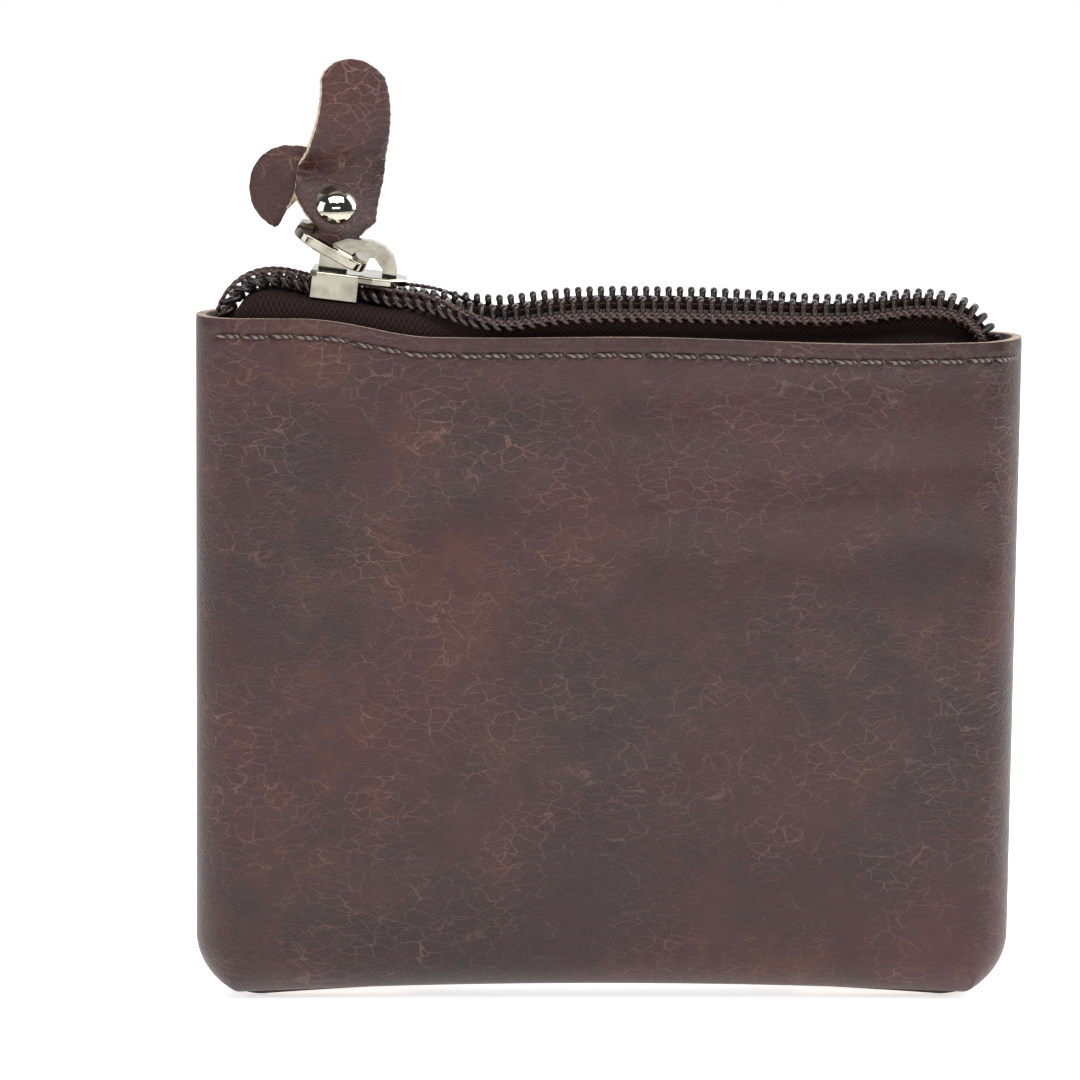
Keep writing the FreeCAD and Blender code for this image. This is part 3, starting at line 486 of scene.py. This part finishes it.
# ------------------------------------------------------------ zip tapes
# Two woven polyester tapes, 0.6 mm thick. Closed, they lie flat under the chain; open, they
# stand up from the mouth. Each is folded down behind its wall and caught by the topstitching.
SLIDER_PLACE = 22.7
SLIDER_LIFT = 4.5
SLIDER_HALF = 6.3
SLIDER_TILT = math.radians(7)
CLOSED_OFFSET = 0.5
SHOULDER_OFFSET = 3.1
OPEN_OFFSET = 4.0
END_OFFSET = 0.9
CHAIN_LEFT = -HALF_WIDTH + 6.8
CHAIN_RIGHT = HALF_WIDTH - 4.0
TAPE_THICK = 0.6
TAPE_FLAT = 4.3
TAPE_BELOW = 7.0
TAPE_TAIL = 2.9
TAPE_THREAD = 0.35
slider_x = -HALF_WIDTH + SLIDER_PLACE
slider_z = MOUTH + SLIDER_LIFT
open_run = CHAIN_RIGHT - slider_x
slope = math.tan(SLIDER_TILT)
path_knots = np.array([
    (CHAIN_LEFT, MOUTH + 1.6), (CHAIN_LEFT + 1.0, MOUTH + 4.3), (CHAIN_LEFT + 3.6, MOUTH + 6.0),
    (slider_x - SLIDER_HALF, slider_z + SLIDER_HALF * slope), (slider_x, slider_z),
    (slider_x + SLIDER_HALF, slider_z - SLIDER_HALF * slope),
    (slider_x + open_run * 0.18, MOUTH + 3.3), (slider_x + open_run * 0.32, MOUTH + 4.6),
    (slider_x + open_run * 0.45, MOUTH + 4.9), (slider_x + open_run * 0.63, MOUTH + 4.5),
    (slider_x + open_run * 0.80, MOUTH + 4.3), (CHAIN_RIGHT - 5.4, MOUTH + 4.5),
    (CHAIN_RIGHT - 1.9, MOUTH + 2.7), (CHAIN_RIGHT, MOUTH - 0.6),
])


def spline_through(knots, count=4000):
    """A natural cubic spline through the knots, sampled evenly along its length."""
    gaps = np.linalg.norm(np.diff(knots, axis=0), axis=1)
    at = np.concatenate([[0], np.cumsum(gaps)])
    size = len(at)
    system = np.zeros((size, size))
    right = np.zeros((size, knots.shape[1]))
    system[0, 0] = system[-1, -1] = 1
    for i in range(1, size - 1):
        system[i, i - 1:i + 2] = gaps[i - 1], 2 * (gaps[i - 1] + gaps[i]), gaps[i]
        right[i] = 6 * ((knots[i + 1] - knots[i]) / gaps[i] - (knots[i] - knots[i - 1]) / gaps[i - 1])
    bend = np.linalg.solve(system, right)
    fine = np.linspace(0, at[-1], count)
    k = np.clip(np.searchsorted(at, fine, side="right") - 1, 0, size - 2)
    a = ((at[k + 1] - fine) / gaps[k])[:, None]
    b = 1 - a
    width = gaps[k][:, None] ** 2 / 6
    line = (a * knots[k] + b * knots[k + 1]
            + ((a ** 3 - a) * bend[k] + (b ** 3 - b) * bend[k + 1]) * width)
    length = np.concatenate([[0], np.cumsum(np.linalg.norm(np.diff(line, axis=0), axis=1))])
    even = np.linspace(0, length[-1], count)
    return even, np.stack([np.interp(even, length, line[:, j]) for j in range(line.shape[1])], axis=1)


chain_at, chain_line = spline_through(path_knots)
CHAIN_LENGTH = chain_at[-1]
chain_tangent = np.gradient(chain_line, axis=0)
chain_tangent /= np.linalg.norm(chain_tangent, axis=1)[:, None]


def offset_at(x):
    """How far a tape's edge stands from the middle plane."""
    opening = CLOSED_OFFSET + (SHOULDER_OFFSET - CLOSED_OFFSET) * smooth((x - slider_x + 0.6) / 6.0)
    wide = (OPEN_OFFSET - SHOULDER_OFFSET) * smooth((x - slider_x - 5.5) / (open_run * 0.2))
    narrow = (OPEN_OFFSET - END_OFFSET) * smooth((x - slider_x - open_run * 0.5) / (open_run * 0.4))
    return opening + wide - narrow


def lean_at(x):
    """0 where the tape lies flat in the closed chain, a quarter turn where it stands up."""
    return np.pi / 2 * smooth((x - slider_x - SLIDER_HALF - 0.5) / (WIDTH * 0.13))


def stations(distance, side):
    """Edge points and the directions along, across and out of the tape, as arrays."""
    distance = np.clip(distance, 0, CHAIN_LENGTH)
    x, z = [np.interp(distance, chain_at, chain_line[:, j]) for j in (0, 1)]
    tx, tz = [np.interp(distance, chain_at, chain_tangent[:, j]) for j in (0, 1)]
    zero = np.zeros_like(x)
    lean = lean_at(x)
    up = np.stack([-tz, zero, tx], axis=1)
    inward = np.stack([zero, zero - side, zero], axis=1)
    edge = np.stack([x, side * offset_at(x), z], axis=1)
    across = inward * np.cos(lean)[:, None] + up * np.sin(lean)[:, None]
    out = up * np.cos(lean)[:, None] - inward * np.sin(lean)[:, None]
    return edge, np.stack([tx, zero, tz], axis=1), across, out


def woven_tape(name, warp, weft):
    """Plain-woven polyester tape: matt, with a thread every 0.35 mm each way."""
    material, tree, shader = new_material(name)
    uv = add(tree, "ShaderNodeTexCoord").outputs["UV"]
    parts = add(tree, "ShaderNodeSeparateXYZ", {"Vector": uv})
    heights = []
    for axis in ("X", "Y"):
        angle = add(tree, "ShaderNodeMath", {0: parts.outputs[axis], 1: math.pi / TAPE_THREAD},
                    operation="MULTIPLY")
        heights.append(add(tree, "ShaderNodeMath", {0: angle.outputs[0]}, operation="SINE").outputs[0])
    over = add(tree, "ShaderNodeMath", {0: heights[0], 1: heights[1]}, operation="MULTIPLY")
    level = add(tree, "ShaderNodeMath", {0: over.outputs[0], 1: 0.5, 2: 0.5}, operation="MULTIPLY_ADD")
    colour = add(tree, "ShaderNodeValToRGB", {"Fac": level.outputs[0]},
                 stops=[(0.2, warp), (0.8, weft)]).outputs[0]
    tree.links.new(colour, shader.inputs["Base Color"])
    shader.inputs["Roughness"].default_value = 0.8
    shader.inputs["Specular IOR Level"].default_value = 0.2
    weave = add(tree, "ShaderNodeBump", {"Height": level.outputs[0], "Strength": 0.9,
                                         "Distance": 0.00018})
    tree.links.new(weave.outputs[0], shader.inputs["Normal"])
    return material


tape_cloth = woven_tape("plain_woven_polyester_tape", "#0d0605", "#2b1815")


def make_tape(name, side, node):
    distance = np.arange(-TAPE_TAIL, CHAIN_LENGTH - 0.2, 0.45)
    edge, along, across, out = stations(distance, side)
    tail = np.clip(-distance, 0, TAPE_TAIL)
    edge = edge + np.stack([-tail, tail * 0, -0.55 * tail], axis=1)
    x = edge[:, 0]
    lean = lean_at(x)
    hold = depth_at(x, mouth_at(x) - 1.0, side) - LEATHER - 0.45
    hold = np.minimum(hold, HALF_DEPTH - LEATHER - 0.4)
    furthest = hold + 0.4 * np.clip(1 - 3 * lean, 0, 1)
    bend_y = np.minimum(np.abs(edge[:, 1]) + np.cos(lean) * TAPE_FLAT, np.maximum(furthest, 0.8))
    bend_z = edge[:, 2] - np.sin(lean) * TAPE_FLAT
    entry_z = np.minimum(np.minimum(mouth_at(x) + 0.15, edge[:, 2] - 1.9), bend_z - 0.8)
    entry_y = np.minimum(hold, bend_y + 0.9)
    ripple = 0.10 * np.sin(distance * 1.9) * np.sin(lean)
    corners = [
        np.stack([x, edge[:, 1] - side * ripple * 0.3, edge[:, 2] + ripple * 0.5], axis=1),
        np.stack([x, side * bend_y, bend_z], axis=1),
        np.stack([x, side * entry_y, entry_z], axis=1),
        np.stack([x, side * hold, entry_z - TAPE_BELOW], axis=1),
    ]
    counts = [8, 5, 6]
    columns = []
    for start, end, count in zip(corners, corners[1:], counts):
        for k in range(count):
            columns.append(start + (end - start) * (k / count))
    columns.append(corners[-1])
    sheet = np.stack(columns, axis=1)
    for _ in range(2):
        sheet[:, 1:-1] = (sheet[:, :-2] + 2 * sheet[:, 1:-1] + sheet[:, 2:]) / 4
    rows, wide = sheet.shape[:2]
    tape = make_object(name, sheet.reshape(-1, 3) * MM, grid_faces(rows, wide, flip=side > 0),
                       [tape_cloth])
    spread = np.concatenate([[0], np.cumsum(np.linalg.norm(np.diff(sheet[rows // 2], axis=0), axis=1))])
    uv_layer = tape.data.uv_layers.new(name="thread_count")
    for loop in tape.data.loops:
        row, column = divmod(loop.vertex_index, wide)
        uv_layer.data[loop.index].uv = (distance[row], spread[column])
    shell = tape.modifiers.new("cloth_thickness", "SOLIDIFY")
    shell.thickness = TAPE_THICK * MM
    shell.offset = 0
    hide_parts(node)
    flatten_with_slider(tape)


make_tape("front_tape", -1, "front_zip_tape")
make_tape("back_tape", 1, "back_zip_tape")

# ------------------------------------------------------------ zip coils
# Each row is one spiral of nylon monofilament, 3.6 by 2.2 mm and 1.5 mm a turn, sewn to the outer
# face of its tape over a cord. The frame's filament is 0.64 mm; it is drawn thicker here, and
# thicker again at the heads, so that the turns read.
COIL_PITCH = 1.5
FILAMENT = 0.78
COIL_WIDTH = 3.6
COIL_HEIGHT = 2.2
HEAD_REACH = 1.1
COIL_MIDDLE = HEAD_REACH - COIL_WIDTH / 2
COIL_RISE = TAPE_THICK / 2 + 0.05 + COIL_HEIGHT / 2
TURN_STEPS = 26
HEAD_SWELL = 0.22
UPRIGHT = 1.57

coil_nylon, coil_tree, coil_shader = new_material("dyed_nylon_monofilament")
coil_place = add(coil_tree, "ShaderNodeTexCoord").outputs["Object"]
coil_tone = add(coil_tree, "ShaderNodeTexNoise", {"Vector": coil_place, "Scale": 260.0, "Detail": 2.0})
coil_colour = add(coil_tree, "ShaderNodeValToRGB", {"Fac": coil_tone.outputs["Fac"]},
                  stops=[(0.35, "#150b0a"), (0.7, "#301c19")]).outputs[0]
coil_tree.links.new(coil_colour, coil_shader.inputs["Base Color"])
coil_shader.inputs["Roughness"].default_value = 0.24
coil_shader.inputs["IOR"].default_value = 1.53


def make_coil(name, side, phase, node):
    turns = int((CHAIN_LENGTH - phase - 0.6) / COIL_PITCH)
    step = np.arange(turns * TURN_STEPS + 1) / TURN_STEPS
    turn = step - np.floor(step)
    advance = np.floor(step) + smooth((turn - 0.28) / 0.44)
    edge, along, across, out = stations(phase + advance * COIL_PITCH, side)
    angle = turn * 2 * np.pi
    reach = (COIL_WIDTH - FILAMENT) / 2
    rise = (COIL_HEIGHT - FILAMENT) / 2
    d = COIL_MIDDLE + reach * np.sign(np.cos(angle)) * np.abs(np.cos(angle)) ** 0.75
    n = COIL_RISE + rise * np.sign(np.sin(angle)) * np.abs(np.sin(angle)) ** 0.62
    line = edge + across * d[:, None] + out * n[:, None]
    head = np.clip(np.cos(angle), 0, 1) ** 4
    radii = FILAMENT / 2 * (1 + (0.05 + HEAD_SWELL * lean_at(edge[:, 0]) / UPRIGHT) * head)
    points = tube_points(line, radii, along)
    coil = make_object(name, points * MM, tube_faces(len(line)), [coil_nylon])
    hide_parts(node)
    flatten_with_slider(coil)


make_coil("front_spiral", -1, COIL_PITCH * 0.5, "front_coil")
make_coil("back_spiral", 1, COIL_PITCH, "back_coil")

# The cord of bundled yarn that the coil is wound on, seen only as a dark line between turns.
# As with the stitches, the paler colour of each thread is a painted highlight on its ply crowns.
filler_cord = twisted_thread("twisted_filler_cord", "#1d1110", "#3d2824", 0.4)
chain_thread = twisted_thread("polyester_chain_stitch", "#1e1210", "#5c413a", 0.3)


def make_strand(name, side, middle, lift, thick, material, node, sway=0.0, beat=0.0):
    """A thread that follows the tape, swaying from side to side if it is a chain stitch."""
    distance = np.arange(0.9, CHAIN_LENGTH - 1.0, 0.18)
    edge, along, across, out = stations(distance, side)
    points, faces = [], []
    strands = 2 if sway else 1
    for k in range(strands):
        angle = distance / COIL_PITCH * 2 * np.pi + k * np.pi
        d = middle + sway * np.sin(angle)
        n = lift + beat * np.cos(angle)
        line = edge + across * d[:, None] + out * n[:, None]
        faces += tube_faces(len(line), start=len(points))
        points += list(tube_points(line, np.full(len(line), thick / 2), out) * MM)
    strand = make_object(name, points, faces, [material])
    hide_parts(node)
    flatten_with_slider(strand)


STITCH_LIFT = COIL_RISE + COIL_HEIGHT / 2 + 0.12
CORD_THICK = 0.7
CHAIN_THREAD_THICK = 0.36
for word, side in (("front", -1), ("back", 1)):
    make_strand(word + "_filler", side, COIL_MIDDLE - 0.25, COIL_RISE, CORD_THICK, filler_cord,
                word + "_coil_cord")
    make_strand(word + "_chain_stitch", side, COIL_MIDDLE - 0.55, STITCH_LIFT, CHAIN_THREAD_THICK,
                chain_thread, word + "_coil_thread", sway=0.26, beat=0.10)

# ------------------------------------------------------------ slider, crown and ring
# Die-cast zinc, barrel-tumbled and nickel plated: bright with soft edges, a faint warm tone
# and the fine scuffs of use. The crown holds the ring, which carries the leather pull.
def nickel_plate(name, tone, scuffed, polish):
    """Nickel plate on tumbled zinc: smooth, a little cloudy, with fine scuffs."""
    material, tree, shader = new_material(name)
    place = add(tree, "ShaderNodeTexCoord").outputs["Object"]
    haze = add(tree, "ShaderNodeTexNoise", {"Vector": place, "Scale": 300.0, "Detail": 5.0})
    colour = add(tree, "ShaderNodeValToRGB", {"Fac": haze.outputs["Fac"]},
                 stops=[(0.3, scuffed), (0.6, tone)]).outputs[0]
    tree.links.new(colour, shader.inputs["Base Color"])
    rough = add(tree, "ShaderNodeValToRGB", {"Fac": haze.outputs["Fac"]}, stops=polish).outputs[0]
    tree.links.new(rough, shader.inputs["Roughness"])
    shader.inputs["Metallic"].default_value = 1.0
    cast = add(tree, "ShaderNodeTexNoise", {"Vector": place, "Scale": 900.0, "Detail": 3.0})
    skin = add(tree, "ShaderNodeBump", {"Height": cast.outputs["Fac"], "Strength": 0.12,
                                        "Distance": 0.0001})
    tree.links.new(skin.outputs[0], shader.inputs["Normal"])
    return material


slider_nickel = nickel_plate("nickel_plated_zinc", "#a9a496", "#827d70",
                             [(0.3, "#5c5c5c"), (0.7, "#3a3a3a")])
rivet_nickel = nickel_plate("nickel_plated_steel", "#c9c5b8", "#aca798",
                            [(0.3, "#3c3c3c"), (0.7, "#262626")])


def finish_node(node, material):
    data = frame["nodes"][node].data
    data.materials.clear()
    data.materials.append(material)


for node in ("slider_body", "slider_crown", "pull_ring"):
    finish_node(node, slider_nickel)
for node in ("rivet_cap", "rivet_post"):
    finish_node(node, rivet_nickel)

# ------------------------------------------------------------ pull strap
# One strip of the same hide, folded flesh side in round the ring's far rail, and riveted. The
# raw edges are pale and furred. The front lobe stands up, and the back one splays to the left.
STRAP_THICK = 1.25
STRAP_WIDE = 11.0
STRAP_NECK = 4.9
STRAP_TWIST = 28.0
TWIST_START = 7.0
TWIST_RUN = 5
RING_SLOPE = 30.0
RING_BAND = 2.1
FOLD_SLACK = 0.25
FOLD_STEPS = 8
ANGLE_WEIGHT = 0.2
rail_joint = next(joint for joint in frame["joints"] if joint["name"] == "strap_swing")
rail = Vector(rail_joint["pos_m"]) / MM
# Stations of the strip from the rail: across, back and up, then the turn of its width in degrees.
front_leg = [
    (2.1, -1.5, 23.9, 0), (2.2, -1.5, 23.2, 0), (2.6, -1.4, 21.2, 0), (2.8, -1.2, 17.6, 0),
    (2.1, -0.5, 13.4, -2), (1.0, 0.8, 9.5, -9), (0.4, 0.9, 6.9, -20), (0.1, -0.35, 4.5, -20),
    (0.0, -1.6, 2.0, -20),
]
back_leg = [
    (0.0, 0.38, 2.5, -20), (0.0, 2.26, 5.4, -10), (-1.4, 2.25, 6.8, 20), (-3.6, 2.2, 7.2, 50),
    (-6.4, 2.1, 7.0, 76), (-9.0, 2.0, 6.9, 88), (-11.4, 1.9, 6.8, 90),
]
fold_radius = RING_BAND / 2 + FOLD_SLACK + STRAP_THICK / 2
fold = []
for i in range(FOLD_STEPS + 1):
    turn = math.pi * i / FOLD_STEPS
    drop = fold_radius * math.sin(turn)
    lean_x = -drop * math.sin(math.radians(RING_SLOPE))
    lean_z = -drop * math.cos(math.radians(RING_SLOPE))
    fold.append((lean_x, -fold_radius * math.cos(turn), lean_z, -RING_SLOPE))
strap_knots = np.array(front_leg + fold + back_leg)
weighted_knots = strap_knots * np.array((1, 1, 1, ANGLE_WEIGHT))
strap_at, strap_line = spline_through(weighted_knots, 260)
strap_line[:, 3] /= ANGLE_WEIGHT
neck_share = STRAP_NECK / STRAP_WIDE
widths = [0.72, 0.75, 0.84, 0.93, 1.02, 1.06, 1.08, 1.06, 0.66] + [neck_share] * len(fold)
widths += [0.62, 1, 1, 1, 1, 1, 1]
knot_gaps = np.linalg.norm(np.diff(weighted_knots, axis=0), axis=1)
knot_at = np.concatenate([[0], np.cumsum(knot_gaps)])
knot_at *= strap_at[-1] / knot_at[-1]
strap_width = np.interp(strap_at, knot_at, widths) * STRAP_WIDE
run = np.concatenate([[0], np.cumsum(np.linalg.norm(np.diff(strap_line[:, :3], axis=0), axis=1))])
for from_end, cap_length in ((run, 6.5), (run[-1] - run, 5.5)):
    into = np.clip(from_end / cap_length, 0, 1)
    strap_width = np.minimum(strap_width, STRAP_WIDE * np.sqrt(1 - (1 - into) ** 2) + 0.4)
twist = np.radians(STRAP_TWIST) * smooth((strap_line[:, 2] - TWIST_START) / TWIST_RUN)

strap_leather = pull_up_leather(
    "burgundy_pull_up_leather_strap",
    [(0.30, "#1c0808"), (0.52, "#300f0e"), (0.72, "#421814")], "#5e2b1e", "#a0766a", lean=-35.0)
strap_edge = raw_leather_edge("furred_raw_edge", "#9c7f60", "#dcc6a6")

SECTION = 28
CAP_SEAT = 2.85
SEAT_SINK = 0.05
RIVET_KNOT = 7
REAR_LOBE = 6.5
section_turn = np.arange(SECTION) / SECTION * 2 * np.pi
flat_cos = np.sign(np.cos(section_turn)) * np.abs(np.cos(section_turn)) ** 0.22
flat_sin = np.sign(np.sin(section_turn)) * np.abs(np.sin(section_turn)) ** 0.45
strap_points = []
front_points = SECTION * int(np.searchsorted(strap_at, knot_at[len(front_leg)]))
for i in range(len(strap_line)):
    centre = Vector(strap_line[i, :3])
    before = Vector(strap_line[max(0, i - 1), :3])
    after = Vector(strap_line[min(len(strap_line) - 1, i + 1), :3])
    angle = math.radians(strap_line[i, 3])
    across = Vector((math.cos(angle) * math.cos(twist[i]), math.sin(twist[i]), math.sin(angle)))
    across.normalize()
    along = (after - before).normalized()
    face = across.cross(along).normalized()
    furred = 0.04 * math.sin(run[i] * 5.3) + 0.03 * math.sin(run[i] * 13.7)
    for k in range(SECTION):
        half = (strap_width[i] / 2 + furred * (abs(flat_cos[k]) > 0.9)) * flat_cos[k]
        offset = across * half + face * (STRAP_THICK / 2 * flat_sin[k])
        strap_points.append((rail + centre + offset) * MM)
# The hide is pressed flat under the rivet's cap.
seat = Vector(front_leg[RIVET_KNOT][:3])
seat_turn = math.radians(front_leg[RIVET_KNOT][3])
seat_across = Vector((math.cos(seat_turn), 0, math.sin(seat_turn)))
seat_along = (Vector(front_leg[RIVET_KNOT + 1][:3]) - Vector(front_leg[RIVET_KNOT - 1][:3])).normalized()
seat_out = seat_across.cross(seat_along).normalized()
seat_out = seat_out if seat_out.y < 0 else -seat_out
seat = rail + seat + seat_out * (STRAP_THICK / 2)
for k, point in enumerate(strap_points):
    reach = point / MM - seat
    height = reach.dot(seat_out)
    if (reach - seat_out * height).length < CAP_SEAT and -0.9 < height < 2.5 and k < front_points:
        strap_points[k] = point - seat_out * ((height + SEAT_SINK) * MM if height > -SEAT_SINK else 0)
strap = make_object("strap", strap_points, tube_faces(len(strap_line), SECTION),
                    [strap_leather, strap_edge], body="strap")
# Grain side outward, raw edges and flesh side elsewhere, and grain on both faces of the rear lobe.
half_way = SECTION // 2
for polygon in strap.data.polygons:
    row, k = divmod(polygon.vertices[0], SECTION)
    outer = half_way < k < SECTION - 1
    both = run[min(row, len(run) - 1)] > run[-1] - REAR_LOBE and 0 < k < half_way - 1
    polygon.material_index = 0 if (outer or both) else 1
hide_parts("pull_strap")
